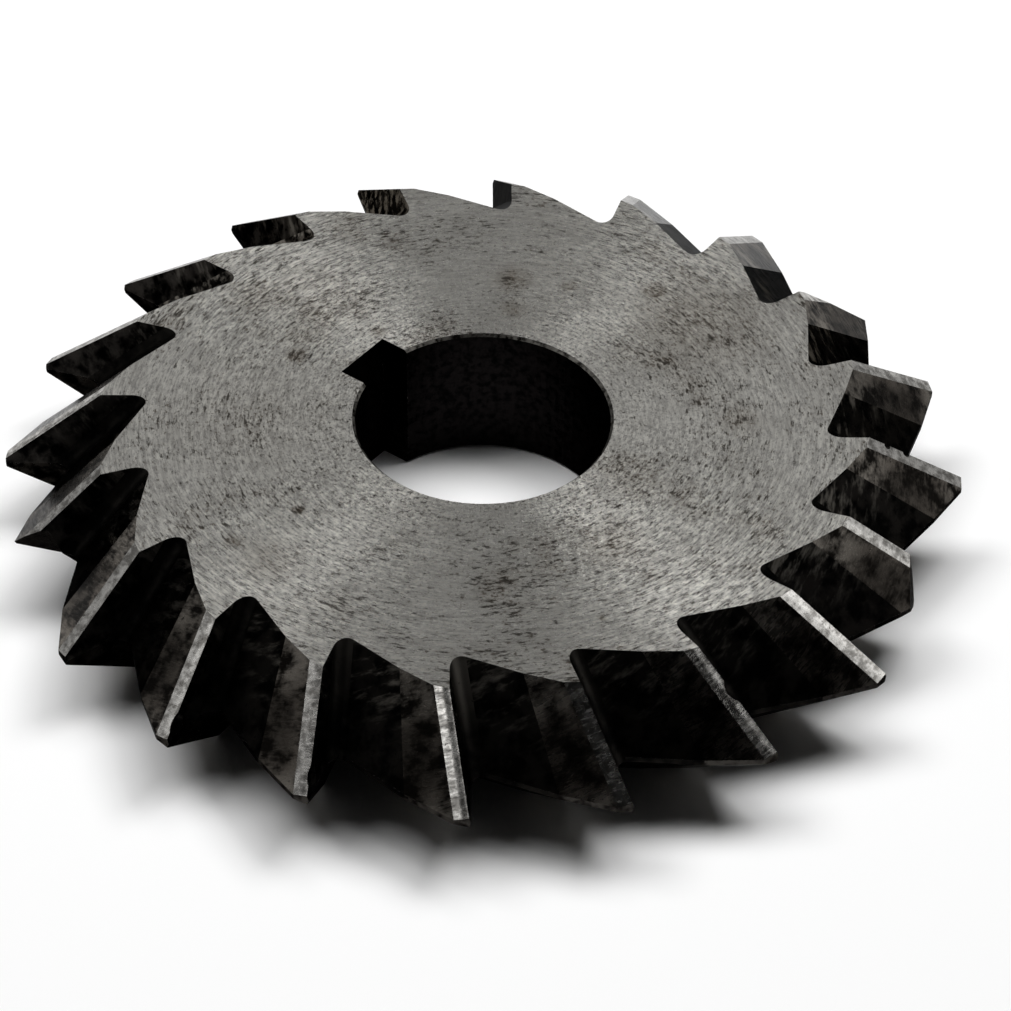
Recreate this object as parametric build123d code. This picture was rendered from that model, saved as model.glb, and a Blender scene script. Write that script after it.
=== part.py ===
from build123d import *
from math import cos, radians, sin, tan
from typing import NamedTuple
import os

# Double angle milling cutter: one disc of tool steel, bored and keyed for an arbor, with teeth
# gashed and ground into both sides of a double-cone rim.  All sizes are millimetres.
# The lower face lies on z = 0, the bore axis is Z, and the keyway points along +Y.
# Tooth 0 stands beside the keyway, the others are counted anticlockwise as seen from above,
# and every rake face looks anticlockwise.

# Disc, bore and keyway
THICKNESS = 16.0
OUTER_DIAMETER = 102.0
BORE_DIAMETER = 27.0
BORE_CHAMFER = 0.3
KEYWAY_WIDTH = 7.0
KEYWAY_DEPTH = 2.9

# Double-cone rim: the flank angles are measured from the faces of the disc
CREST_HEIGHT = 8.2
UPPER_FLANK_ANGLE = 35.0
LOWER_FLANK_ANGLE = 38.0
CREST_TRUNCATION = 0.8
GRINDING_ALLOWANCE = 0.5

# Teeth, with all angles in degrees as seen along the bore axis
TOOTH_COUNT = 20
KEYWAY_TOOTH_OFFSET = 3.0
EDGE_LEAD = 3.3
RAKE_ANGLE = 4.7
LAND_WIDTH = 1.6
LAND_RELIEF = 11.0
SECOND_RELIEF = 30.5
SECOND_WIDTH_AT_CREST = 6.0
SECOND_WIDTH_AT_FACE = 4.1
GULLET_RADIUS = 1.4

# The gullet walls behind the second relief were milled before the blank was set true, so they
# are steepest, and the gullets deepest, beside one tooth and the other way across from it
GULLET_WALL_SLOPE = 36.7
WALL_SLOPE_CHANGE = 2.6
STEEPEST_WALL_TOOTH = 1.5

# The ridge where the two gashes meet behind a crest is dressed flat, from a little above the root
RIDGE_DRESSING = 0.35
RIDGE_START_HEIGHT = 1.5

# How far the gashing tool runs past the material that it cuts
FACE_OVERRUN = 1.5
CREST_OVERRUN = 0.8
LAND_OVERRUN = 2.5
RIM_OVERRUN = 6.0
RIDGE_OVERRUN = 1.0


class CrestBreak(NamedTuple):
    """Flat fracture across a crest, given by the points where it leaves the tooth."""

    tooth: int
    upper_loss: float    # along the upper edge from the crest
    lower_loss: float    # along the lower edge from the crest
    lower_retreat: float    # backwards from that point of the lower edge
    ridge_loss: float    # backwards along the ridge of the tooth
    front_reach: float    # how far the fracture runs on in front of its two lower points


BROKEN_CRESTS = (
    CrestBreak(3, upper_loss=4.3, lower_loss=12.0, lower_retreat=4.2, ridge_loss=3.6, front_reach=0.6),
    CrestBreak(11, upper_loss=5.0, lower_loss=4.0, lower_retreat=0.0, ridge_loss=6.8, front_reach=2.0),
    CrestBreak(14, upper_loss=11.8, lower_loss=2.5, lower_retreat=0.0, ridge_loss=4.0, front_reach=1.5),
)
BREAK_HEIGHT = 7.0
BREAK_OVERRUN = 2.0

# Nicks in upper cutting edges: tooth, distance from the crest, depth, and radius of the bite
EDGE_NICKS = (
    (5, 2.2, 0.22, 2.2),
    (6, 2.5, 0.16, 2.5),
    (9, 7.7, 0.50, 1.6),
    (12, 7.8, 0.45, 0.45),
    (12, 10.4, 0.50, 0.4),
)

PITCH = 360.0 / TOOTH_COUNT
FIRST_TOOTH_ANGLE = 90.0 - KEYWAY_TOOTH_OFFSET
OUTER_RADIUS = OUTER_DIAMETER / 2
BORE_RADIUS = BORE_DIAMETER / 2
SHARP_CREST_RADIUS = OUTER_RADIUS + CREST_TRUNCATION


def polar(radius, angle):
    """Plan point at a radius and an angle in degrees."""
    return Vector(radius * cos(radians(angle)), radius * sin(radians(angle)))


def back_slope(angle):
    """Plan direction along the back of a tooth towards its edge, at an angle to the tangent."""
    return Vector(sin(radians(angle)), cos(radians(angle)))


def crossing(start_a, way_a, start_b, way_b):
    """Plan point where two lines meet."""
    gap = start_b - start_a
    share = (gap.X * way_b.Y - gap.Y * way_b.X) / (way_a.X * way_b.Y - way_a.Y * way_b.X)
    return start_a + way_a * share


class Flank:
    """One side of the rim, from the plane of the crest out to a face of the disc."""

    def __init__(self, height, angle):
        self.height = height
        self.run = 1 / tan(radians(angle))
        self.face_edge_radius = SHARP_CREST_RADIUS - height * self.run

    def cutting_edge(self, level):
        """Plan point of the edge of the tooth at angle 0, at a level away from the crest plane."""
        crest = polar(SHARP_CREST_RADIUS, EDGE_LEAD)
        face = polar(self.face_edge_radius, 0)
        return crest + (face - crest) * (level / self.height)

    def gash_outline(self, level, wall_slope):
        """Corners of the space in front of one tooth and over the back of the next, at a level."""
        edge = self.cutting_edge(level)
        land_end = edge - back_slope(LAND_RELIEF) * LAND_WIDTH
        taper = (SECOND_WIDTH_AT_FACE - SECOND_WIDTH_AT_CREST) / self.height
        second_width = SECOND_WIDTH_AT_CREST + taper * level
        shoulder = land_end - back_slope(SECOND_RELIEF) * second_width
        front_edge = edge.rotate(Axis.Z, -PITCH)
        rake_way = polar(1, RAKE_ANGLE - PITCH)
        root = crossing(front_edge, rake_way, shoulder, back_slope(wall_slope))
        past_edge = edge + back_slope(LAND_RELIEF) * LAND_OVERRUN
        rim = Vector(OUTER_RADIUS + RIM_OVERRUN, 0)
        rim_ahead = Vector(rim.X, past_edge.Y)
        rim_behind = crossing(root, rake_way, rim, Vector(0, 1))
        corners = [root, shoulder, land_end, past_edge, rim_ahead, rim_behind]
        return [Vector(corner.X, corner.Y, level) for corner in corners]

    def gash(self, wall_slope):
        """One gash above the crest plane, with the round root that its milling cutter leaves."""
        inner = self.gash_outline(-CREST_OVERRUN, wall_slope)
        outer = self.gash_outline(self.height + FACE_OVERRUN, wall_slope)
        space = slanted_prism(inner, outer)
        root_middle = (inner[0] + outer[0]) / 2
        root_edge = space.edges().sort_by_distance(root_middle)[0]
        return fillet(root_edge, GULLET_RADIUS)

    def edge_point(self, from_crest):
        """Point on the edge above the crest plane, at a distance in from the turned-off crest."""
        start_level = CREST_TRUNCATION / self.run
        edge_start = self.cutting_edge(start_level)
        edge_end = self.cutting_edge(self.height)
        start = Vector(edge_start.X, edge_start.Y, start_level)
        end = Vector(edge_end.X, edge_end.Y, self.height)
        return start + (end - start).normalized() * from_crest


UPPER = Flank(THICKNESS - CREST_HEIGHT, UPPER_FLANK_ANGLE)
LOWER = Flank(CREST_HEIGHT, LOWER_FLANK_ANGLE)


def slanted_prism(inner, outer):
    """Solid with flat sides between two outlines whose sides run parallel."""
    sides = [
        [inner[i - 1], inner[i], outer[i], outer[i - 1]]
        for i in range(len(inner))
    ]
    return Solid(Shell([Face(Wire.make_polygon(loop)) for loop in [inner, outer] + sides]))


def ridge_cut(wall_slope):
    """Space over the dressed ridge behind the crest at angle 0."""
    inward = Vector(-RIDGE_DRESSING, 0, 0)
    corners = [corner + inward for corner in UPPER.gash_outline(0, wall_slope)]
    corners[0] = corners[0] + back_slope(wall_slope) * RIDGE_START_HEIGHT
    rise = Vector(0, 0, RIDGE_OVERRUN)
    return slanted_prism([corner - rise for corner in corners], [corner + rise for corner in corners])


def blank():
    """Turned double-cone disc, its flanks a little proud for the grinding of the lands."""
    upper_face = UPPER.face_edge_radius + GRINDING_ALLOWANCE
    lower_face = LOWER.face_edge_radius + GRINDING_ALLOWANCE
    upper_corner = (CREST_TRUNCATION + GRINDING_ALLOWANCE) / UPPER.run
    lower_corner = (CREST_TRUNCATION + GRINDING_ALLOWANCE) / LOWER.run
    with BuildPart() as disc:
        with BuildSketch(Plane.XZ):
            with BuildLine():
                Polyline(
                    (0, -LOWER.height),
                    (lower_face, -LOWER.height),
                    (OUTER_RADIUS, -lower_corner),
                    (OUTER_RADIUS, upper_corner),
                    (upper_face, UPPER.height),
                    (0, UPPER.height),
                    close=True,
                )
            make_face()
        revolve(axis=Axis.Z)
    return disc.part


def bore_with_keyway():
    """Space of the bore, its end chamfers and its keyway, from z = 0 up through the thickness."""
    bore = Pos(0, 0, THICKNESS / 2) * Cylinder(BORE_RADIUS, THICKNESS)
    flare = Cone(BORE_RADIUS + BORE_CHAMFER, BORE_RADIUS, BORE_CHAMFER)
    lower_flare = Pos(0, 0, BORE_CHAMFER / 2) * flare
    upper_flare = Pos(0, 0, THICKNESS) * lower_flare.mirror(Plane.XY)
    floor = BORE_RADIUS + KEYWAY_DEPTH
    keyway = Pos(0, floor / 2, THICKNESS / 2) * Box(KEYWAY_WIDTH, floor, THICKNESS)
    return bore + lower_flare + upper_flare + keyway


def break_tool(broken):
    """Block whose lower face is the plane along which a crest broke, on the tooth at angle 0."""
    above = UPPER.edge_point(broken.upper_loss)
    below = LOWER.edge_point(broken.lower_loss) - back_slope(SECOND_RELIEF) * broken.lower_retreat
    below = Vector(below.X, below.Y, -below.Z)
    ridge_land = UPPER.cutting_edge(0) - back_slope(LAND_RELIEF) * LAND_WIDTH
    behind = ridge_land - back_slope(SECOND_RELIEF) * (broken.ridge_loss - LAND_WIDTH)
    outward = (behind - above).cross(below - above)
    face = Plane(origin=(above + below) / 2, x_dir=above - below, z_dir=outward)
    span = (above - below).length + 2 * BREAK_OVERRUN
    width = broken.front_reach + broken.ridge_loss + BREAK_OVERRUN
    block = Box(span, width, BREAK_HEIGHT, align=(Align.CENTER, Align.MIN, Align.MIN))
    return face * Pos(0, -broken.front_reach, 0) * block


def nick_tool(from_crest, depth, radius):
    """Ball that bites into the upper edge of the tooth at angle 0 from the front."""
    return Pos(UPPER.edge_point(from_crest) + Vector(0, radius - depth, 0)) * Sphere(radius)


def at_tooth(number, shape):
    """The shape turned from angle 0 to a numbered tooth."""
    return Rot(0, 0, FIRST_TOOTH_ANGLE + number * PITCH) * shape


def cuts_behind(number):
    """The upper gash, the lower gash and the ridge cut over the back of a numbered tooth."""
    off_steepest = (number - STEEPEST_WALL_TOOTH) * PITCH
    wall_slope = GULLET_WALL_SLOPE + WALL_SLOPE_CHANGE * cos(radians(off_steepest))
    upper = UPPER.gash(wall_slope)
    lower = LOWER.gash(wall_slope).mirror(Plane.XY)
    return [at_tooth(number, shape) for shape in (upper, lower, ridge_cut(wall_slope))]


def milling_cutter():
    """The whole cutter, its lower face at z = 0."""
    cuts = [space for number in range(TOOTH_COUNT) for space in cuts_behind(number)]
    breaks = [at_tooth(broken.tooth, break_tool(broken)) for broken in BROKEN_CRESTS]
    nicks = [at_tooth(tooth, nick_tool(*bite)) for tooth, *bite in EDGE_NICKS]
    toothed_disc = blank() - cuts - breaks - nicks
    return Pos(0, 0, CREST_HEIGHT) * toothed_disc - bore_with_keyway()


def main():
    """Write the one solid that the cutter is."""
    os.makedirs("parts", exist_ok=True)
    export_step(milling_cutter(), "parts/milling_cutter.step")


if __name__ == "__main__":
    main()
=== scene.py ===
"""Looks of a worn double angle milling cutter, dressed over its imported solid.

The solid's own surface is copied, merged and sorted facet by facet, so that each ground, milled
or broken surface of the tool gets its own finish.  Lengths in the dataclasses are millimetres
and angles are degrees, unless a name says otherwise; meshes are written in metres.
"""

import logging
import math
from dataclasses import dataclass, field
from enum import IntEnum

import bpy
import numpy as np
from mathutils import Matrix, Vector

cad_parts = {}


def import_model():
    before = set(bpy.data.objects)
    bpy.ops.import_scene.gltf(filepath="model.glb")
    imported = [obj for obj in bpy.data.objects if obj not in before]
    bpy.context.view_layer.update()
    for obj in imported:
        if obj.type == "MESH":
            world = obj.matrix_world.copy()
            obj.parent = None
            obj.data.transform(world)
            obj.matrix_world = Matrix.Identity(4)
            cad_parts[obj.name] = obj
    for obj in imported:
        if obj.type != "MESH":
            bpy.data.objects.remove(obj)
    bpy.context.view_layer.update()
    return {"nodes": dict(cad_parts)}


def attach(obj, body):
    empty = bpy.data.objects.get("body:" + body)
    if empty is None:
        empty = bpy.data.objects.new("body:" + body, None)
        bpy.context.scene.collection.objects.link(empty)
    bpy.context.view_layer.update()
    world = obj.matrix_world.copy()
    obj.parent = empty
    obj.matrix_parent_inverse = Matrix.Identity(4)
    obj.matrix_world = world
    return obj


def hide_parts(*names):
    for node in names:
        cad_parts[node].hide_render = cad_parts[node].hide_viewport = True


LOG = logging.getLogger("milling_cutter")
MM = 0.001
CAD_NODE = "milling_cutter"

Triple = tuple[float, float, float]
Socket = bpy.types.NodeSocket
Value = Socket | float | Triple


class FacetKind(IntEnum):
    """The surfaces of the cutter, each with its own finish."""

    DISC_FACE = 0
    LAND = 1
    RELIEF = 2
    GULLET = 3
    RAKE = 4
    BORE = 5
    BORE_CHAMFER = 6
    CREST = 7
    FRACTURE = 8
    WORN_EDGE = 9


@dataclass(frozen=True)
class SteelFinish:
    """Colour and gloss of one kind of surface.

    Attributes:
        colour: base colour of the clean metal, linear red, green and blue.
        dark: base colour of its dirt, scale or pits.
        roughness: mean roughness.
        edge_on: share of its mirror light that it keeps where it is seen nearly edge-on; scale
            and dirt swallow the rest.
        bump: height of the surface detail.
    """

    colour: Triple
    dark: Triple
    roughness: float
    edge_on: float
    bump: float


FINISHES: dict[FacetKind, SteelFinish] = {
    FacetKind.DISC_FACE: SteelFinish((0.98, 0.96, 0.895), (0.035, 0.028, 0.020), 0.40, 0.9, 0.055),
    FacetKind.LAND: SteelFinish((0.66, 0.645, 0.615), (0.07, 0.062, 0.052), 0.23, 0.65, 0.005),
    FacetKind.RELIEF: SteelFinish((0.125, 0.110, 0.095), (0.008, 0.007, 0.006), 0.27, 0.60, 0.012),
    FacetKind.GULLET: SteelFinish((0.011, 0.010, 0.009), (0.002, 0.002, 0.002), 0.40, 0.3, 0.02),
    FacetKind.RAKE: SteelFinish((0.022, 0.020, 0.018), (0.001, 0.001, 0.001), 0.40, 0.15, 0.015),
    FacetKind.BORE: SteelFinish((0.008, 0.007, 0.007), (0.002, 0.002, 0.002), 0.42, 0.2, 0.01),
    FacetKind.BORE_CHAMFER: SteelFinish((0.22, 0.21, 0.19), (0.008, 0.007, 0.006), 0.4, 0.3, 0.02),
    FacetKind.CREST: SteelFinish((0.045, 0.042, 0.038), (0.006, 0.005, 0.005), 0.42, 0.15, 0.02),
    FacetKind.FRACTURE: SteelFinish((0.03, 0.027, 0.025), (0.008, 0.007, 0.007), 0.5, 0.2, 0.08),
    FacetKind.WORN_EDGE: SteelFinish((0.45, 0.44, 0.42), (0.06, 0.055, 0.05), 0.4, 0.4, 0.01),
}

# Base colours that cover a part of a clean finish.
DULL_GRAIN = (0.34, 0.332, 0.313)
GREY_STREAK = (0.24, 0.23, 0.215)
GREY_PATCH = (0.36, 0.345, 0.32)
BROWN_HAZE = (0.25, 0.20, 0.145)
BROWN_POINT = (0.11, 0.085, 0.06)
DULL_LAND = (0.17, 0.162, 0.15)
BARE_RELIEF = (0.27, 0.25, 0.22)
# Next: bare streaks in the gashes, laid on more thickly towards the upper face as painted light
# there.
BARE_STREAK_AND_PAINTED_LIGHT = (0.13, 0.12, 0.105)
# Next: patchy painted reflection of the lit floor, laid on the gashes of one side.
FLOOR_REFLECTION_GREY = (0.175, 0.16, 0.14)

# How far apart, at most, two teeth lie in the noise that their lines are drawn from.
TOOTH_PATTERN_REACH = 50.0


@dataclass(frozen=True)
class Stain:
    """One dark mark on the upper face.

    Attributes:
        x: place in the part's frame.
        y: place in the part's frame.
        reach: radius of the mark.
        strength: how dark its middle is, 0 to 1.
    """

    x: float
    y: float
    reach: float
    strength: float


STAINS = (
    Stain(-23.2, 5.9, 0.9, 1.0),
    Stain(20.4, 11.6, 3.0, 0.8),
    Stain(28.2, -2.2, 2.2, 0.85),
    Stain(-4.3, 21.9, 1.7, 0.8),
    Stain(23.1, 5.9, 1.2, 0.7),
    Stain(16.2, 8.4, 2.0, 0.6),
    Stain(4.2, 17.6, 1.2, 0.7),
    Stain(-30.8, 8.2, 1.3, 0.6),
    Stain(-8.0, -22.6, 0.7, 1.0),
    Stain(29.8, -13.2, 2.0, 0.5),
    Stain(19.7, -9.3, 2.6, 0.5),
    Stain(-17.1, -28.0, 0.6, 1.0),
    Stain(26.5, -9.0, 10.0, 0.60),
    Stain(16.2, -21.6, 3.0, 0.50),
    Stain(-7.8, -22.4, 5.0, 0.45),
    Stain(-15.0, 20.0, 12.0, 0.18),
    Stain(5.0, 27.0, 8.0, 0.30),
    Stain(-31.0, 3.5, 4.5, 0.40),
)

# Middle direction in plan, and reach from it on the unit circle, of the gashes that carry a patchy
# painted reflection of the lit floor.
FLOOR_REFLECTING_SIDES: dict[FacetKind, tuple[Triple, float]] = {
    FacetKind.GULLET: ((0.31, 0.951, 0.0), 0.58),
    FacetKind.RAKE: ((0.588, 0.809, 0.0), 0.24),
}


def new_object(name: str, data: bpy.types.ID) -> bpy.types.Object:
    """New object that shows its data in the scene.

    Args:
        name: the object's name.
        data: a mesh, light or camera.

    Returns:
        The object, at the origin.
    """
    made = bpy.data.objects.new(name, data)
    bpy.context.scene.collection.objects.link(made)
    return made


def level_way(angle: float) -> np.ndarray:
    """Unit vector in plan at an angle to X."""
    turn = math.radians(angle)
    return np.array([math.cos(turn), math.sin(turn), 0.0])


def scattered(numbers: np.ndarray) -> np.ndarray:
    """A fixed number from 0 to 1 for each whole number, without a pattern."""
    spread, lift = 12.9898, 43758.5453
    return (np.sin(numbers * spread) * lift) % 1.0


@dataclass(frozen=True)
class ToothPlan:
    """Where the flat facets of one tooth lie, in the tooth's own plan frame.

    The frame has X outward through the edge at the disc's face, Y anticlockwise, and z = 0 in
    the plane of the crest.
    """

    tooth_count: int = 20
    first_tooth_angle: float = 87.0
    crest_height: float = 8.2
    thickness: float = 16.0
    sharp_crest_radius: float = 51.8
    upper_flank_angle: float = 35.0
    lower_flank_angle: float = 38.0
    edge_lead: float = 3.3
    rake_angle: float = 4.7
    land_width: float = 1.6
    land_relief: float = 11.0
    second_relief: float = 30.5
    second_width_at_crest: float = 6.0
    second_width_at_face: float = 4.1
    wall_slope: float = 36.7
    wall_slope_change: float = 2.6
    steepest_wall_tooth: float = 1.5
    broken_teeth: tuple[int, ...] = (3, 11, 14)

    @property
    def pitch(self) -> float:
        """Angle from one tooth to the next."""
        return 360.0 / self.tooth_count

    @property
    def mean_flank_angle(self) -> float:
        """Mean of the two flanks' angles."""
        return 0.5 * (self.upper_flank_angle + self.lower_flank_angle)

    def tooth_angle(self, number: int | np.ndarray) -> float | np.ndarray:
        """Angle of a numbered tooth in the part's frame."""
        return self.first_tooth_angle + number * self.pitch

    def into_tooth(self, number: int) -> np.ndarray:
        """Matrix that turns a vector of the part's frame into the tooth's.

        Args:
            number: the tooth, counted anticlockwise from the one beside the keyway.

        Returns:
            The matrix, three by three.
        """
        turn = math.radians(self.tooth_angle(number))
        return np.array(
            [
                [math.cos(turn), math.sin(turn), 0.0],
                [-math.sin(turn), math.cos(turn), 0.0],
                [0.0, 0.0, 1.0],
            ]
        )

    @staticmethod
    def back(angle: float) -> np.ndarray:
        """Unit vector forwards along the back of a tooth, at an angle to the tangent."""
        turn = math.radians(angle)
        return np.array([math.sin(turn), math.cos(turn), 0.0])

    def facet_planes(self, number: int, side: int) -> dict[FacetKind, tuple[np.ndarray, ...]]:
        """Planes of the land, relief, gullet wall and rake face of one tooth.

        Each plane is the span of the line that it shares with its neighbour and a direction
        across it; its normal is the cross product of the two.

        Args:
            number: the tooth, counted anticlockwise from the one beside the keyway.
            side: 1 for the upper flank and -1 for the lower one.

        Returns:
            For each kind, a point of the plane, its unit normal, the direction along the
            cutting edge, and the direction across the facet, all in the tooth's frame.
        """
        flank = self.upper_flank_angle if side > 0 else self.lower_flank_angle
        height = self.thickness - self.crest_height if side > 0 else self.crest_height
        face_radius = self.sharp_crest_radius - height / math.tan(math.radians(flank))
        crest = self.sharp_crest_radius * level_way(self.edge_lead)
        face = face_radius * level_way(0.0)
        along = (face - crest) / height + np.array([0.0, 0.0, side])
        taper = (self.second_width_at_face - self.second_width_at_crest) / height
        land_end = crest - self.back(self.land_relief) * self.land_width
        shoulder = land_end - self.back(self.second_relief) * self.second_width_at_crest
        shoulder_way = along - self.back(self.second_relief) * taper
        off_steepest = math.radians((number - self.steepest_wall_tooth) * self.pitch)
        slope = self.wall_slope + self.wall_slope_change * math.cos(off_steepest)
        spans = {
            FacetKind.LAND: (crest, along, self.back(self.land_relief)),
            FacetKind.RELIEF: (land_end, along, self.back(self.second_relief)),
            FacetKind.GULLET: (shoulder, shoulder_way, self.back(slope)),
            FacetKind.RAKE: (crest, along, level_way(self.rake_angle)),
        }
        edge_way = along / np.linalg.norm(along)
        planes = {}
        for kind, (point, way, other) in spans.items():
            normal = np.cross(way, other)
            normal /= np.linalg.norm(normal)
            across_from = other if kind is FacetKind.RAKE else self.back(self.land_relief)
            across = -across_from + edge_way * float(across_from @ edge_way)
            across /= np.linalg.norm(across)
            planes[kind] = (point, normal, edge_way, across)
        return planes


@dataclass
class Triangles:
    """The triangles of a mesh.

    Attributes:
        corners: place of each corner of each triangle.
        normals: unit normal of each triangle.
    """

    corners: np.ndarray
    normals: np.ndarray

    @classmethod
    def of(cls, mesh: bpy.types.Mesh) -> "Triangles":
        """Read them from a mesh that has no other faces.

        Args:
            mesh: a surface in metres.

        Returns:
            Its triangles in millimetres.
        """
        count = len(mesh.polygons)
        points = np.empty(len(mesh.vertices) * 3)
        mesh.vertices.foreach_get("co", points)
        loops = np.empty(count * 3, dtype=np.int64)
        mesh.loops.foreach_get("vertex_index", loops)
        normals = np.empty(count * 3)
        mesh.polygons.foreach_get("normal", normals)
        corners = (points.reshape(-1, 3) / MM)[loops]
        return cls(corners.reshape(count, 3, 3), normals.reshape(count, 3))


@dataclass
class FacetMap:
    """What each triangle of the surface is sorted into.

    Attributes:
        kind: the surface that it belongs to.
        tooth: the number of its tooth.
        flank: for each of its corners, the distance along the cutting edge from the crest and
            the distance across from that edge.
    """

    kind: np.ndarray
    tooth: np.ndarray
    flank: np.ndarray


@dataclass
class CutterBody:
    """The whole cutter as one dressed surface.

    Attributes:
        plan: where the facets of the teeth lie.
        merge_step: corners that round to the same multiple of this are joined.
        plane_gap: how far a facet's corners may lie from its plane.
        parallel: least dot product of a facet's normal and its plane's.
        facet_ahead: how far in front of its plane's own point a facet may lie.
        facet_behind: how far behind that point it may lie.
        facet_radius: least distance of a facet from the axis.
        past_crest: how far a flank's facet may reach past the plane of the crest.
        level: least height of the normal of a level triangle.
        face_gap: how far the disc's faces may lie from their heights.
        bore_reach: largest radius of the bore and keyway walls.
        chamfer_slant: least height of the normal of a chamfer.
        gash_depth: depth under the flank past which only a gash reaches.
        rake_facing: least share of the normal of a rake face that looks anticlockwise.
        edge_width: width of the worn bevel along sharp edges.
        edge_angle: least angle between two facets whose common edge is worn.
        edge_segments: strips of the worn bevel.
    """

    plan: ToothPlan = field(default_factory=ToothPlan)
    merge_step: float = 0.002
    plane_gap: float = 0.02
    parallel: float = 0.9995
    facet_ahead: float = 3.0
    facet_behind: float = 20.0
    facet_radius: float = 20.0
    past_crest: float = 1.0
    level: float = 0.999
    face_gap: float = 0.01
    bore_reach: float = 17.0
    chamfer_slant: float = 0.3
    gash_depth: float = 4.0
    rake_facing: float = 0.35
    edge_width: float = 0.09
    edge_angle: float = 24.0
    edge_segments: int = 2

    def merged_copy(self, source: bpy.types.Object) -> bpy.types.Object:
        """Copy of the solid's surface with its loose triangles joined at their corners.

        Args:
            source: the imported solid, which is left alone.

        Returns:
            A new object at the origin, in the scene.
        """
        solid = source.data
        spots = np.empty(len(solid.vertices) * 3)
        solid.vertices.foreach_get("co", spots)
        spots = spots.reshape(-1, 3)
        keys = np.round(spots / (self.merge_step * MM)).astype(np.int64)
        _, first, merged = np.unique(keys, axis=0, return_index=True, return_inverse=True)
        loops = np.empty(len(solid.loops), dtype=np.int64)
        solid.loops.foreach_get("vertex_index", loops)
        triangles = merged.reshape(-1)[loops].reshape(-1, 3)
        whole = (triangles != np.roll(triangles, 1, axis=1)).all(axis=1)
        mesh = bpy.data.meshes.new("cutter_surface")
        mesh.from_pydata(spots[first].tolist(), [], triangles[whole].tolist())
        mesh.update()
        return new_object("cutter_body", mesh)

    def sort_facets(self, triangles: Triangles) -> FacetMap:
        """Sort every triangle by the surface that it belongs to.

        A triangle belongs to the facet whose plane holds its three corners and has the same
        normal.  What no plane holds is told by its place, and is a crest where nothing else fits.

        Args:
            triangles: those of the merged surface.

        Returns:
            Their kinds, teeth and places on the flanks.
        """
        middle = triangles.corners.mean(axis=1)
        azimuth = np.degrees(np.arctan2(middle[:, 1], middle[:, 0]))
        tooth = np.round((azimuth - self.plan.first_tooth_angle) / self.plan.pitch).astype(int)
        facets = FacetMap(
            kind=np.full(len(middle), int(FacetKind.CREST)),
            tooth=tooth % self.plan.tooth_count,
            flank=np.zeros((len(middle), 3, 2)),
        )
        matched = self.match_planes(triangles, facets)
        self.sort_by_place(triangles, matched, facets)
        return facets

    def match_planes(self, triangles: Triangles, facets: FacetMap) -> np.ndarray:
        """Sort the triangles that lie in the plane of a tooth's facet.

        Args:
            triangles: those of the merged surface.
            facets: where the kind, tooth and place of each match are written.

        Returns:
            Whether each triangle was matched.
        """
        best = np.full(len(triangles.normals), np.inf)
        for number in range(self.plan.tooth_count):
            turned = self.plan.into_tooth(number).T
            local = (triangles.corners - np.array([0.0, 0.0, self.plan.crest_height])) @ turned
            facing = triangles.normals @ turned
            outward, forward, up = local.mean(axis=1).T
            for side in (1, -1):
                planes = self.plan.facet_planes(number, side)
                crest = planes[FacetKind.LAND][0]
                for kind, (point, normal, along, across) in planes.items():
                    gap = np.abs((local - point) @ normal).max(axis=1)
                    ahead = forward - point[1]
                    fits = (gap < self.plane_gap) & (gap < best)
                    fits &= np.abs(facing @ normal) > self.parallel
                    fits &= (ahead < self.facet_ahead) & (ahead > -self.facet_behind)
                    fits &= (outward > self.facet_radius) & (up * side > -self.past_crest)
                    best[fits] = gap[fits]
                    facets.kind[fits] = int(kind)
                    facets.tooth[fits] = number
                    facets.flank[fits, :, 0] = (local[fits] - crest) @ along
                    facets.flank[fits, :, 1] = (local[fits] - crest) @ across
        return np.isfinite(best)

    def sort_by_place(self, triangles: Triangles, matched: np.ndarray, facets: FacetMap) -> None:
        """Sort the triangles of the faces, bore, round gullet roots and fractures.

        Args:
            triangles: those of the merged surface.
            matched: which of them a plane already holds.
            facets: where the kinds are written.
        """
        middle = triangles.corners.mean(axis=1)
        upright = np.abs(triangles.normals[:, 2])
        height = middle[:, 2]
        at_face = (height > self.plan.thickness - self.face_gap) | (height < self.face_gap)
        on_face = ~matched & (upright > self.level) & at_face
        facets.kind[on_face] = int(FacetKind.DISC_FACE)
        radius = np.hypot(triangles.corners[:, :, 0], triangles.corners[:, :, 1]).max(axis=1)
        wall = (radius < self.bore_reach) & ~on_face
        facets.kind[wall] = int(FacetKind.BORE)
        facets.kind[wall & (upright > self.chamfer_slant)] = int(FacetKind.BORE_CHAMFER)

        left = ~matched & ~wall & ~on_face
        off_crest = np.abs(height - self.plan.crest_height)
        slope = math.tan(math.radians(self.plan.mean_flank_angle))
        flank_radius = self.plan.sharp_crest_radius - off_crest / slope
        deep = flank_radius - np.hypot(middle[:, 0], middle[:, 1]) > self.gash_depth
        broken = np.isin(facets.tooth, self.plan.broken_teeth)
        broken |= np.isin(facets.tooth + 1, self.plan.broken_teeth)
        turn = np.radians(self.plan.tooth_angle(facets.tooth))
        forward = triangles.normals[:, 1] * np.cos(turn) - triangles.normals[:, 0] * np.sin(turn)
        rake = ~broken & (forward > self.rake_facing)
        facets.kind[left & deep] = int(FacetKind.GULLET)
        facets.kind[left & ~deep & broken] = int(FacetKind.FRACTURE)
        facets.kind[left & ~deep & rake] = int(FacetKind.RAKE)

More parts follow.
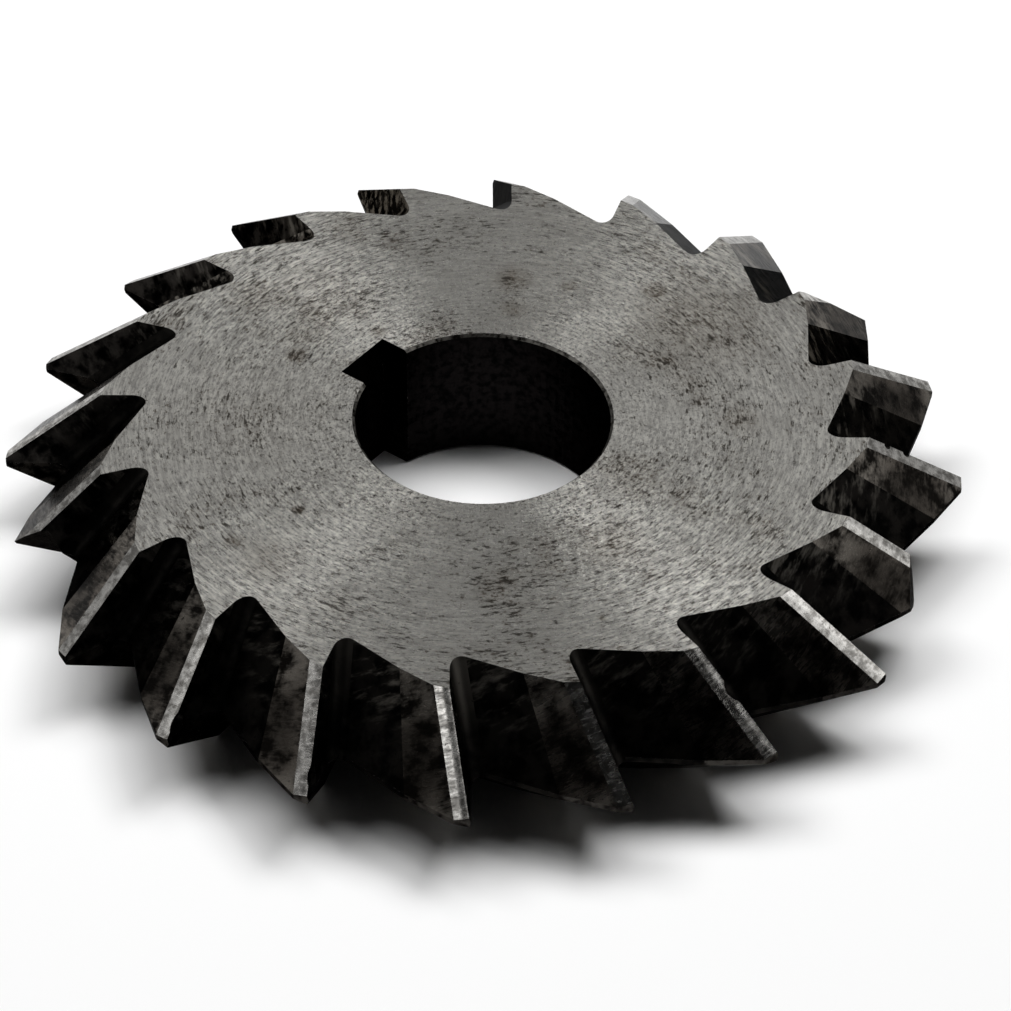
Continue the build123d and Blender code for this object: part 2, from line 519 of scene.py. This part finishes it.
    def build(self, source: bpy.types.Object, finishes: "FinishShop") -> bpy.types.Object:
        """Make the dressed piece that stands for the solid.

        Args:
            source: the imported solid.
            finishes: where its materials come from.

        Returns:
            The finished object.
        """
        body = self.merged_copy(source)
        mesh = body.data
        facets = self.sort_facets(Triangles.of(mesh))
        for kind in FacetKind:
            mesh.materials.append(finishes.material(kind))
            LOG.info("%s: %d triangles", kind.name.lower(), int((facets.kind == kind).sum()))
        mesh.polygons.foreach_set("material_index", facets.kind.astype(np.int32))
        flank = mesh.uv_layers.new(name="Flank")
        flank.data.foreach_set("uv", facets.flank.reshape(-1).astype(np.float32))
        tone = mesh.attributes.new("tooth_tone", "FLOAT", "FACE")
        tone.data.foreach_set("value", scattered(facets.tooth).astype(np.float32))
        mesh.shade_flat()
        mesh.update()
        worn = body.modifiers.new("worn_edges", "BEVEL")
        worn.width = self.edge_width * MM
        worn.segments = self.edge_segments
        worn.limit_method = "ANGLE"
        worn.angle_limit = math.radians(self.edge_angle)
        worn.material = int(FacetKind.WORN_EDGE)
        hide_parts(CAD_NODE)
        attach(body, "root")
        return body


class NodeSketch:
    """Short ways to wire a material's nodes."""

    def __init__(self, material: bpy.types.Material) -> None:
        """Start an empty tree with a surface output and one Principled shader.

        Args:
            material: the new material whose nodes these are.
        """
        material.use_nodes = True
        self.tree = material.node_tree
        self.tree.nodes.clear()
        output = self.tree.nodes.new("ShaderNodeOutputMaterial")
        self.shader = self.tree.nodes.new("ShaderNodeBsdfPrincipled")
        self.wire(self.shader.outputs[0], output.inputs["Surface"])

    def wire(self, source: Socket, target: Socket) -> None:
        """Link two sockets."""
        self.tree.links.new(source, target)

    def feed(self, value: Value, target: Socket) -> None:
        """Link a socket, or write a constant into the target.

        Args:
            value: an output to link, a number, or three numbers.
            target: the input that takes it; a colour input gets full cover added.
        """
        if isinstance(value, Socket):
            self.wire(value, target)
        elif target.type == "RGBA":
            target.default_value = (*value, 1.0)
        else:
            target.default_value = value

    def place(self) -> Socket:
        """Object coordinates in millimetres.

        Returns:
            The coordinates, as a vector.
        """
        coordinates = self.tree.nodes.new("ShaderNodeTexCoord")
        node = self.tree.nodes.new("ShaderNodeVectorMath")
        node.operation = "SCALE"
        self.wire(coordinates.outputs["Object"], node.inputs[0])
        node.inputs["Scale"].default_value = 1.0 / MM
        return node.outputs["Vector"]

    def in_plan(self, place: Socket) -> Socket:
        """A place with its height left out."""
        x, y, _ = self.split(place)
        return self.join(x, y, 0.0)

    def flank(self) -> Socket:
        """Distances along and across a tooth's facet, in millimetres.

        Returns:
            The two distances, as a vector whose third number is 0.
        """
        node = self.tree.nodes.new("ShaderNodeUVMap")
        node.uv_map = "Flank"
        return node.outputs["UV"]

    def attribute(self, name: str) -> Socket:
        """A number that the mesh carries.

        Args:
            name: the mesh attribute's name.

        Returns:
            The number.
        """
        node = self.tree.nodes.new("ShaderNodeAttribute")
        node.attribute_name = name
        return node.outputs["Fac"]

    def vector(self, operation: str, *values: Value) -> Socket:
        """Vector maths on one or two inputs.

        Args:
            operation: what Blender calls it.
            *values: its inputs in order.

        Returns:
            A number for a length, and a vector otherwise.
        """
        node = self.tree.nodes.new("ShaderNodeVectorMath")
        node.operation = operation
        for value, socket in zip(values, node.inputs):
            self.feed(value, socket)
        return node.outputs["Value" if operation == "LENGTH" else "Vector"]

    def maths(self, operation: str, *values: Value, clamp: bool = False) -> Socket:
        """Maths on one to three numbers.

        Args:
            operation: what Blender calls it.
            *values: its inputs in order.
            clamp: whether the result is kept from 0 to 1.

        Returns:
            The result.
        """
        node = self.tree.nodes.new("ShaderNodeMath")
        node.operation = operation
        node.use_clamp = clamp
        for value, socket in zip(values, node.inputs):
            self.feed(value, socket)
        return node.outputs[0]

    def average(self, first: Value, second: Value, share: float) -> Socket:
        """A share of one number and the rest of another.

        Args:
            first: the number that has the share.
            second: the number that has the rest.
            share: 0 to 1.

        Returns:
            The weighted average.
        """
        rest = self.maths("MULTIPLY", second, 1.0 - share)
        return self.maths("ADD", self.maths("MULTIPLY", first, share), rest)

    def split(self, vector: Socket) -> tuple[Socket, ...]:
        """The three numbers of a vector.

        Args:
            vector: what is taken apart.

        Returns:
            Its X, Y and Z.
        """
        node = self.tree.nodes.new("ShaderNodeSeparateXYZ")
        self.wire(vector, node.inputs[0])
        return tuple(node.outputs)

    def join(self, x: Value, y: Value, z: Value) -> Socket:
        """A vector from three numbers.

        Args:
            x: its first number.
            y: its second number.
            z: its third number.

        Returns:
            The vector.
        """
        node = self.tree.nodes.new("ShaderNodeCombineXYZ")
        for value, socket in zip((x, y, z), node.inputs):
            self.feed(value, socket)
        return node.outputs[0]

    def noise(self, vector: Socket, scale: float, detail: float, roughness: float) -> Socket:
        """Soft noise, about 0.5 on average.

        Args:
            vector: where it is read.
            scale: how often it changes for each unit of that.
            detail: how many finer octaves are added.
            roughness: how strong each octave is against the one before.

        Returns:
            The noise, nearly always between 0.2 and 0.8.
        """
        node = self.tree.nodes.new("ShaderNodeTexNoise")
        self.wire(vector, node.inputs["Vector"])
        node.inputs["Scale"].default_value = scale
        node.inputs["Detail"].default_value = detail
        node.inputs["Roughness"].default_value = roughness
        return node.outputs["Fac"]

    def ramp(
        self, value: Socket, low: float, high: float, to_low: float = 0.0, to_high: float = 1.0
    ) -> Socket:
        """Smooth step of a value from one range into another.

        Args:
            value: what is mapped.
            low: where the step starts.
            high: where it ends; below low the step runs the other way.
            to_low: the result at low and before it.
            to_high: the result at high and past it.

        Returns:
            The result.
        """
        node = self.tree.nodes.new("ShaderNodeMapRange")
        node.interpolation_type = "SMOOTHSTEP"
        self.wire(value, node.inputs["Value"])
        ends = {"From Min": low, "From Max": high, "To Min": to_low, "To Max": to_high}
        for name, number in ends.items():
            node.inputs[name].default_value = number
        return node.outputs[0]

    def blend(self, factor: Value, first: Value, second: Value) -> Socket:
        """Mix of two colours.

        Args:
            factor: share of the second, 0 to 1.
            first: the colour at 0.
            second: the colour at 1.

        Returns:
            The mixed colour.
        """
        node = self.tree.nodes.new("ShaderNodeMix")
        node.data_type = "RGBA"
        factor_socket, first_colour, second_colour = (node.inputs[at] for at in (0, 6, 7))
        self.feed(factor, factor_socket)
        self.feed(first, first_colour)
        self.feed(second, second_colour)
        return node.outputs[2]

    def coat(self, colour: Value, over: Value, mask: Value, share: Value) -> Socket:
        """One colour laid over another, by a mask times a share.

        Args:
            colour: the colour below.
            over: the colour on top.
            mask: where the one on top lies, 0 to 1.
            share: how much of it shows there.

        Returns:
            The colour of both.
        """
        return self.blend(self.maths("MULTIPLY", mask, share), colour, over)

    def bump(self, height: Socket, millimetres: float) -> None:
        """Give the shader a bump: a height times a depth in millimetres.

        Args:
            height: the surface detail, about 0 to 1.
            millimetres: what a height of 1 is.
        """
        node = self.tree.nodes.new("ShaderNodeBump")
        node.inputs["Distance"].default_value = millimetres * MM
        node.inputs["Strength"].default_value = 1.0
        self.wire(height, node.inputs["Height"])
        self.wire(node.outputs[0], self.shader.inputs["Normal"])

    def surface(
        self, colour: Value, roughness: Value, edge_on: float = 1.0, metallic: float = 1.0
    ) -> None:
        """Set the shader's colour, roughness, what it mirrors edge-on, and metal.

        Args:
            colour: base colour.
            roughness: 0 for a mirror and 1 for a dull surface.
            edge_on: share of its mirror light that it keeps where it is seen edge-on.
            metallic: 1 for bare metal and 0 for none.
        """
        self.feed((edge_on, edge_on, edge_on), self.shader.inputs["Specular Tint"])
        self.feed(colour, self.shader.inputs["Base Color"])
        self.feed(roughness, self.shader.inputs["Roughness"])
        self.shader.inputs["Metallic"].default_value = metallic


class FinishShop:
    """Makes the material of each kind of surface."""

    def material(self, kind: FacetKind) -> bpy.types.Material:
        """The material of one kind of surface.

        Args:
            kind: the surface.

        Returns:
            A new material.
        """
        material = bpy.data.materials.new(f"steel_{kind.name.lower()}")
        sketch = NodeSketch(material)
        if kind is FacetKind.DISC_FACE:
            self.ground_in_circles(sketch, FINISHES[kind])
        elif kind in (FacetKind.LAND, FacetKind.RELIEF, FacetKind.RAKE, FacetKind.GULLET):
            self.ground_along_flank(sketch, FINISHES[kind], kind)
        else:
            self.plain_steel(sketch, FINISHES[kind])
        return material

    def ground_in_circles(self, sketch: NodeSketch, finish: SteelFinish) -> None:
        """Face ground on a turning table: fine circular lines, pits and faint brown stains.

        The lines are noise read at (cos, sin) of the angle times a short length and at the
        radius times a fine one, so each is an arc round the bore.  Where the grain is lighter
        it is also rougher, so it shows most in the bright fans of light and least between them.

        Args:
            sketch: the material's nodes.
            finish: the clean and dark colours, roughness and bump.
        """
        place = sketch.place()
        flat = sketch.in_plan(place)
        radius = sketch.vector("LENGTH", flat)
        way = sketch.vector("NORMALIZE", flat)
        way_x, way_y, _ = sketch.split(way)

        def arcs(round_count: float, per_millimetre: float, detail: float) -> Socket:
            """Noise drawn out along circles round the bore.

            Args:
                round_count: changes round the face; more of them are shorter.
                per_millimetre: changes for each millimetre of radius.
                detail: how many finer octaves are added.

            Returns:
                The noise.
            """
            spot = sketch.join(
                sketch.maths("MULTIPLY", way_x, round_count),
                sketch.maths("MULTIPLY", way_y, round_count),
                sketch.maths("MULTIPLY", radius, per_millimetre),
            )
            return sketch.noise(spot, 1.0, detail, 0.7)

        fine = arcs(17.0, 3.7, 2.0)
        long = arcs(8.0, 3.0, 3.0)
        short = arcs(40.0, 2.3, 3.0)
        broad = arcs(4.0, 0.22, 3.0)
        grit = arcs(48.0, 2.4, 1.0)
        ragged = arcs(23.0, 2.7, 4.0)
        specks = arcs(58.0, 3.4, 3.0)
        grain = sketch.average(fine, short, 0.45)

        drift = sketch.maths("SUBTRACT", sketch.noise(place, 0.10, 3.0, 0.6), 0.5)
        stained = self.stain_cover(sketch, place, ragged)
        dirty = sketch.maths("MULTIPLY_ADD", stained, 0.085, sketch.maths("MULTIPLY", drift, 0.30))
        marks = sketch.ramp(sketch.maths("ADD", ragged, dirty), 0.554, 0.655)
        points = sketch.ramp(sketch.maths("MULTIPLY_ADD", dirty, 0.8, specks), 0.573, 0.655)
        haze = sketch.maths("ADD", sketch.ramp(drift, 0.04, 0.20, 0.0, 0.4), stained, clamp=True)

        colour = sketch.blend(sketch.ramp(grain, 0.37, 0.63), DULL_GRAIN, finish.colour)
        colour = sketch.coat(colour, GREY_STREAK, sketch.ramp(long, 0.46, 0.66), 0.40)
        colour = sketch.coat(colour, GREY_PATCH, sketch.ramp(broad, 0.40, 0.66), 0.25)
        colour = sketch.coat(colour, BROWN_HAZE, haze, sketch.ramp(ragged, 0.38, 0.62, 0.25, 0.85))
        colour = sketch.coat(colour, BROWN_POINT, points, 0.78)
        colour = sketch.coat(colour, finish.dark, marks, 0.88)
        smoothest, roughest = finish.roughness - 0.18, finish.roughness + 0.15
        sketch.surface(colour, sketch.ramp(grain, 0.36, 0.64, smoothest, roughest), finish.edge_on)
        sketch.bump(sketch.maths("MULTIPLY_ADD", fine, 0.35, grit), finish.bump)
        sketch.shader.inputs["Anisotropic"].default_value = 0.92
        sketch.wire(way, sketch.shader.inputs["Tangent"])

    def stain_cover(self, sketch: NodeSketch, place: Socket, grain: Socket) -> Socket:
        """Cover of the single stains, each ragged towards its rim.

        A stain's cover falls from its middle to its reach, and the grain moves each place in
        or out before that fall.

        Args:
            sketch: the material's nodes.
            place: where the stains are looked up, in millimetres.
            grain: noise, about 0.5 on average.

        Returns:
            The largest cover of any stain, 0 to 1.
        """
        covers = []
        for stain in STAINS:
            middle = (stain.x, stain.y, ToothPlan.thickness)
            away = sketch.vector("LENGTH", sketch.vector("SUBTRACT", place, middle))
            share = sketch.maths("SUBTRACT", sketch.maths("DIVIDE", away, stain.reach), 1.0)
            uneven = sketch.maths("MULTIPLY_ADD", grain, 2.0, share)
            covers.append(sketch.maths("MULTIPLY", sketch.ramp(uneven, 1.15, 0.1), stain.strength))
        largest = covers[0]
        for cover in covers[1:]:
            largest = sketch.maths("MAXIMUM", largest, cover)
        return largest

    def ground_along_flank(self, sketch: NodeSketch, finish: SteelFinish, kind: FacetKind) -> None:
        """Facet of a tooth: fine lines across it, soft patches and small pits.

        The lines are noise read at the distance along the cutting edge times a fine frequency
        and at the distance across the facet times a coarse one.

        Args:
            sketch: the material's nodes.
            finish: the clean and dark colours, roughness and bump.
            kind: which facet of a tooth it is.
        """
        place = sketch.place()
        along, across, _ = sketch.split(sketch.flank())
        pattern = sketch.maths("MULTIPLY", sketch.attribute("tooth_tone"), TOOTH_PATTERN_REACH)

        def lines(per_along: float, per_across: float, detail: float) -> Socket:
            """Noise drawn out across the facet.

            Args:
                per_along: changes for each millimetre along the cutting edge.
                per_across: changes for each millimetre across the facet.
                detail: how many finer octaves are added.

            Returns:
                The noise, another on each tooth.
            """
            spot = sketch.join(
                sketch.maths("MULTIPLY", along, per_along),
                sketch.maths("MULTIPLY", across, per_across),
                pattern,
            )
            return sketch.noise(spot, 1.0, detail, 0.65)

        fine = lines(3.2, 0.7, 3.0)
        patches = sketch.noise(place, 0.42, 4.0, 0.6)
        pits = sketch.ramp(sketch.noise(place, 1.5, 3.0, 0.7), 0.64, 0.71)
        if kind is FacetKind.LAND:
            colour = self.land_colour(sketch, finish, lines(1.0, 0.9, 2.5), fine)
        elif kind is FacetKind.RELIEF:
            cover = sketch.average(patches, fine, 0.75)
            colour = self.relief_colour(sketch, finish, along, across, cover)
        else:
            streaks = lines(0.9, 0.3, 4.0)
            colour = self.gash_colour(sketch, kind, place, patches, streaks)
        colour = sketch.coat(colour, finish.dark, pits, 0.8)
        smoothest, roughest = finish.roughness - 0.06, finish.roughness + 0.08
        sketch.surface(colour, sketch.ramp(fine, 0.3, 0.7, smoothest, roughest), finish.edge_on)
        height = sketch.maths("SUBTRACT", sketch.maths("ADD", fine, patches), pits)
        height = sketch.maths("MULTIPLY", height, finish.bump)
        if kind is FacetKind.LAND:
            rounding = sketch.ramp(across, -0.1, 0.8, 0.0, 0.055)
            height = sketch.maths("ADD", height, rounding)
        sketch.bump(height, 1.0)

    def land_colour(
        self, sketch: NodeSketch, finish: SteelFinish, blotches: Socket, fine: Socket
    ) -> Socket:
        """Ground land: light blotches of about a millimetre between duller ones, with lines.

        Args:
            sketch: the material's nodes.
            finish: its clean and dark colours.
            blotches: noise of the duller places.
            fine: noise of the lines.

        Returns:
            The colour.
        """
        colour = sketch.coat(finish.colour, DULL_LAND, sketch.ramp(blotches, 0.36, 0.64), 0.85)
        return sketch.coat(colour, finish.dark, sketch.ramp(fine, 0.45, 0.72), 0.35)

    def relief_colour(
        self,
        sketch: NodeSketch,
        finish: SteelFinish,
        along: Socket,
        across: Socket,
        cover: Socket,
    ) -> Socket:
        """Second relief: brown-grey patches, barer by the crest and darker towards the gullet.

        Args:
            sketch: the material's nodes.
            finish: its clean and dark colours.
            along: distance from the crest along the cutting edge, in millimetres.
            across: distance from that edge, in millimetres.
            cover: noise of its dark patches.

        Returns:
            The colour.
        """
        colour = sketch.blend(sketch.ramp(cover, 0.38, 0.60), finish.colour, finish.dark)
        past_crest, off_face = sketch.ramp(along, 2.5, 6.5), sketch.ramp(along, 13.0, 10.0)
        middle = sketch.maths("MULTIPLY", past_crest, off_face)
        colour = sketch.coat(colour, finish.dark, middle, sketch.ramp(across, 1.4, 3.2, 0.0, 0.55))
        near_crest = sketch.ramp(along, 4.2, 1.2)
        near_face = sketch.ramp(along, 10.5, 13.5, 0.0, 0.6)
        ends = sketch.maths("ADD", near_crest, near_face)
        bare = sketch.maths("MULTIPLY", ends, sketch.ramp(cover, 0.60, 0.40))
        return sketch.coat(colour, BARE_RELIEF, bare, 0.75)

    def gash_colour(
        self,
        sketch: NodeSketch,
        kind: FacetKind,
        place: Socket,
        patches: Socket,
        streaks: Socket,
    ) -> Socket:
        """Gullet wall or rake face: black scale with bare streaks near the upper face, laid on
        more thickly upwards as painted light, and a patchy painted reflection of the lit floor on
        one side.

        Args:
            sketch: the material's nodes.
            kind: which of the two it is.
            place: the part's own coordinates, in millimetres.
            patches: noise of its darkest scale.
            streaks: noise of its bare streaks.

        Returns:
            The colour.
        """
        finish = FINISHES[kind]
        # Streaks that grow towards the upper face: real bare metal, and painted light at the top
        # of the gash.
        near_face = sketch.ramp(sketch.split(place)[2], 10.0, 15.5, 0.0, 0.8)
        colour = sketch.blend(sketch.ramp(patches, 0.38, 0.60), finish.colour, finish.dark)
        colour = sketch.coat(colour, BARE_STREAK_AND_PAINTED_LIGHT, sketch.ramp(streaks, 0.48, 0.72), near_face)
        way = sketch.vector("NORMALIZE", sketch.in_plan(place))
        side, reach = FLOOR_REFLECTING_SIDES[kind]
        apart = sketch.vector("LENGTH", sketch.vector("SUBTRACT", way, side))
        # Lighter patches on the gashes of one side: a painted reflection of the lit floor.
        floor_reflection = sketch.ramp(sketch.noise(place, 0.9, 4.0, 0.65), 0.42, 0.66)
        return sketch.coat(colour, FLOOR_REFLECTION_GREY, floor_reflection, sketch.ramp(apart, reach, 0.7 * reach))

    def plain_steel(self, sketch: NodeSketch, finish: SteelFinish) -> None:
        """Machined or broken steel with an uneven dark cover.

        Args:
            sketch: the material's nodes.
            finish: the clean and dark colours, roughness and bump.
        """
        place = sketch.place()
        mottle = sketch.noise(place, 1.2, 4.0, 0.65)
        grain = sketch.noise(place, 5.0, 3.0, 0.6)
        colour = sketch.blend(sketch.ramp(mottle, 0.4, 0.65), finish.colour, finish.dark)
        smoothest, roughest = finish.roughness - 0.08, finish.roughness + 0.08
        sketch.surface(colour, sketch.ramp(grain, 0.3, 0.7, smoothest, roughest), finish.edge_on)
        sketch.bump(grain, finish.bump)


@dataclass(frozen=True)
class Glow:
    """One soft bright or dark part of the studio's surround.

    Attributes:
        azimuth: direction in plan from the object, 0 to the right and 90 away from the camera.
        elevation: angle above the floor.
        spread: angle from its middle at which about a third of its gain is left.
        gain: how much brighter than the rest its middle is; less than 0 darkens.
    """

    azimuth: float
    elevation: float
    spread: float
    gain: float


@dataclass(frozen=True)
class Lamp:
    """One soft disk lamp, which the steel doesn't mirror.

    Attributes:
        name: its object's name.
        azimuth: direction in plan from the object, as a glow's.
        elevation: angle above the floor.
        size: diameter of the disk.
        share: its part of the light at which a white floor renders white.
    """

    name: str
    azimuth: float
    elevation: float
    size: float
    share: float


@dataclass
class Studio:
    """Pale floor, surround, lamps and the camera.

    Azimuths are seen from the camera, which looks towards 90 degrees; the whole studio is then
    turned by the angle between the camera's sight and the part's own +Y.
    """

    turn: float = -53.1
    floor_half: float = 4000.0
    floor_drop: float = 0.02
    floor_grey: float = 0.93
    floor_roughness: float = 0.9
    floor_gloss: float = 0.1
    surround_level: float = 0.30
    surround_radius: float = 900.0
    surround_rows: int = 72
    surround_columns: int = 216
    glows: tuple[Glow, ...] = (
        Glow(0.0, 56.0, 17.0, 1.0),
        Glow(0.0, 57.0, 6.0, 9.3),
        Glow(5.0, 35.0, 14.0, 0.75),
        Glow(180.0, 55.0, 13.0, 0.8),
        Glow(180.0, 56.0, 5.5, 7.2),
        Glow(175.0, 35.0, 16.0, 0.15),
        Glow(85.0, 36.0, 26.0, 0.22),
        Glow(20.0, 25.0, 14.0, 0.20),
        Glow(-45.0, 54.0, 18.0, -1.6),
        Glow(-80.0, 55.0, 30.0, -0.60),
        Glow(-105.0, 42.0, 42.0, -0.34),
    )
    window: Glow = Glow(-127.0, 57.5, 4.3, 4.0)
    disk_lamps: tuple[Lamp, ...] = (
        Lamp("back_lamp", 92.0, 75.0, 520.0, 0.435),
        Lamp("left_lamp", 160.0, 60.0, 420.0, 0.362),
        Lamp("right_lamp", 32.0, 63.0, 400.0, 0.362),
    )
    lamp_distance: float = 900.0
    world_strength: float = 0.012
    focal_pixels: float = 3583.12
    image_pixels: float = 1011.0
    sensor_width: float = 36.0
    nearest_seen: float = 10.0
    farthest_seen: float = 20000.0
    camera_elevation: float = 42.0811
    camera_roll: float = 0.62029
    camera_right: float = -2.37592
    camera_up: float = 9.41573
    camera_distance: float = 377.585
    target_height: float = 16.0

    def turned(self, azimuth: float, elevation: float) -> np.ndarray:
        """Unit vector for a studio direction, in the part's frame.

        Args:
            azimuth: direction in plan, 0 to the right and 90 away from the camera.
            elevation: angle above the floor.

        Returns:
            The vector.
        """
        around, up = math.radians(azimuth + self.turn), math.radians(elevation)
        level = math.cos(up)
        return np.array([math.cos(around) * level, math.sin(around) * level, math.sin(up)])

    def camera(self) -> None:
        """Camera at the photograph's place.

        It looks down at the elevation, is rolled a little about its sight, and stands so far
        back from the middle of the upper face, moved right and up in its own picture plane.
        """
        elevation = math.radians(self.camera_elevation)
        roll = math.radians(self.camera_roll)
        sight = Vector((0.0, math.cos(elevation), -math.sin(elevation)))
        right = Vector((1.0, 0.0, 0.0))
        up = right.cross(sight)
        rolled_right = right * math.cos(roll) + up * math.sin(roll)
        rolled_up = up * math.cos(roll) - right * math.sin(roll)
        place = -sight * self.camera_distance
        place -= rolled_right * self.camera_right + rolled_up * self.camera_up
        data = bpy.data.cameras.new("camera")
        data.sensor_width = self.sensor_width
        data.lens = self.sensor_width * self.focal_pixels / self.image_pixels
        data.clip_start, data.clip_end = self.nearest_seen * MM, self.farthest_seen * MM
        camera = new_object("camera", data)
        axes = Matrix((rolled_right, rolled_up, -sight)).transposed().to_4x4()
        spin = Matrix.Rotation(math.radians(self.turn), 4, "Z")
        target = Vector((0.0, 0.0, self.target_height))
        camera.matrix_world = Matrix.Translation((spin @ place + target) * MM) @ spin @ axes
        bpy.context.scene.camera = camera

    def floor(self) -> None:
        """Plain pale floor, a square sheet just under the part."""
        half = self.floor_half * MM
        corners = [(-half, -half, 0.0), (half, -half, 0.0), (half, half, 0.0), (-half, half, 0.0)]
        mesh = bpy.data.meshes.new("floor")
        mesh.from_pydata(corners, [], [(0, 1, 2, 3)])
        floor = new_object("floor", mesh)
        floor.location = (0.0, 0.0, -self.floor_drop * MM)
        material = bpy.data.materials.new("floor_white")
        sketch = NodeSketch(material)
        sketch.surface((self.floor_grey,) * 3, self.floor_roughness, metallic=0.0)
        sketch.shader.inputs["Specular IOR Level"].default_value = self.floor_gloss
        mesh.materials.append(material)

    def lit_by(self, glow: Glow, ways: np.ndarray) -> np.ndarray:
        """What one glow adds in each direction.

        It is the gain times the bell curve of the angle from the glow's middle over its spread.

        Args:
            glow: the glow.
            ways: unit vectors, one in each row.

        Returns:
            The brightness that it adds to each, less than 0 for a dark one.
        """
        near = np.clip(ways @ self.turned(glow.azimuth, glow.elevation), -1, 1)
        return glow.gain * np.exp(-((np.degrees(np.arccos(near)) / glow.spread) ** 2))

    def surround(self) -> None:
        """Studio surround that the steel mirrors: a half sphere with soft bright and dark parts.

        Its brightness is a level plus the glows, never less than black, plus the window.  The
        camera doesn't see it, and it casts no light or shadow on dull surfaces.
        """
        rows, columns = self.surround_rows, self.surround_columns
        up = np.linspace(0.0, math.pi / 2, rows)[:, None]
        around = np.linspace(0.0, 2 * math.pi, columns, endpoint=False)[None, :]
        east, north = np.cos(around) * np.cos(up), np.sin(around) * np.cos(up)
        ways = np.stack([east, north, np.sin(up) + 0 * around], axis=-1).reshape(-1, 3)
        level = np.full(len(ways), self.surround_level)
        for glow in self.glows:
            level += self.lit_by(glow, ways)
        level = np.clip(level, 0.0, None) + self.lit_by(self.window, ways)
        row, column = np.meshgrid(np.arange(rows - 1), np.arange(columns), indexing="ij")
        here, ahead = row * columns + column, row * columns + (column + 1) % columns
        faces = np.stack([here, here + columns, ahead + columns, ahead], axis=-1).reshape(-1, 4)
        mesh = bpy.data.meshes.new("surround")
        mesh.from_pydata((ways * self.surround_radius * MM).tolist(), [], faces.tolist())
        brightness = mesh.attributes.new("glow", "FLOAT", "POINT")
        brightness.data.foreach_set("value", level.astype(np.float32))
        mesh.shade_smooth()
        surround = new_object("surround", mesh)
        material = bpy.data.materials.new("surround_glow")
        material.use_nodes = True
        tree = material.node_tree
        tree.nodes.clear()
        level_node = tree.nodes.new("ShaderNodeAttribute")
        level_node.attribute_name = "glow"
        emission = tree.nodes.new("ShaderNodeEmission")
        output = tree.nodes.new("ShaderNodeOutputMaterial")
        tree.links.new(level_node.outputs["Fac"], emission.inputs["Strength"])
        tree.links.new(emission.outputs[0], output.inputs["Surface"])
        mesh.materials.append(material)
        surround.visible_camera = False
        surround.visible_diffuse = False
        surround.visible_shadow = False

    def lamps(self) -> None:
        """Three soft lamps, behind and at both sides.

        Each gives the floor its share of the light at which a white surface renders white: a
        disk's power for that is the square of pi times its distance, over the sine of its
        elevation.
        """
        for lamp in self.disk_lamps:
            sine = math.sin(math.radians(lamp.elevation))
            data = bpy.data.lights.new(lamp.name, "AREA")
            data.shape = "DISK"
            data.size = lamp.size * MM
            data.energy = lamp.share * (math.pi * self.lamp_distance * MM) ** 2 / sine
            hung = new_object(lamp.name, data)
            way = Vector(self.turned(lamp.azimuth, lamp.elevation))
            hung.location = way * self.lamp_distance * MM
            hung.rotation_mode = "QUATERNION"
            hung.rotation_quaternion = way.to_track_quat("Z", "Y")
            hung.visible_glossy = False

    def world(self) -> None:
        """Even soft light, shown white to the camera and in reflections."""
        world = bpy.data.worlds.new("studio")
        bpy.context.scene.world = world
        world.use_nodes = True
        tree = world.node_tree
        tree.nodes.clear()
        path = tree.nodes.new("ShaderNodeLightPath")
        seen = path.outputs["Is Camera Ray"]
        for name in ("Is Glossy Ray", "Is Transmission Ray"):
            either = tree.nodes.new("ShaderNodeMath")
            either.operation = "MAXIMUM"
            tree.links.new(seen, either.inputs[0])
            tree.links.new(path.outputs[name], either.inputs[1])
            seen = either.outputs[0]
        mix = tree.nodes.new("ShaderNodeMixShader")
        tree.links.new(seen, mix.inputs[0])
        for target, strength in zip(mix.inputs[1:], (self.world_strength, 1.0)):
            light = tree.nodes.new("ShaderNodeBackground")
            light.inputs["Color"].default_value = (1.0, 1.0, 1.0, 1.0)
            light.inputs["Strength"].default_value = strength
            tree.links.new(light.outputs[0], target)
        output = tree.nodes.new("ShaderNodeOutputWorld")
        tree.links.new(mix.outputs[0], output.inputs["Surface"])

    def build(self) -> None:
        """Put up the whole studio."""
        self.floor()
        self.surround()
        self.lamps()
        self.world()
        self.camera()
        bpy.context.scene.view_settings.view_transform = "Standard"


def main() -> None:
    """Load the frame, dress the cutter and put up the studio."""
    logging.basicConfig(level=logging.INFO, format="%(name)s: %(message)s")
    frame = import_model()
    body = CutterBody().build(frame["nodes"][CAD_NODE], FinishShop())
    LOG.info("%s: %d triangles in all", body.name, len(body.data.polygons))
    Studio().build()


if __name__ == "__main__":
    main()
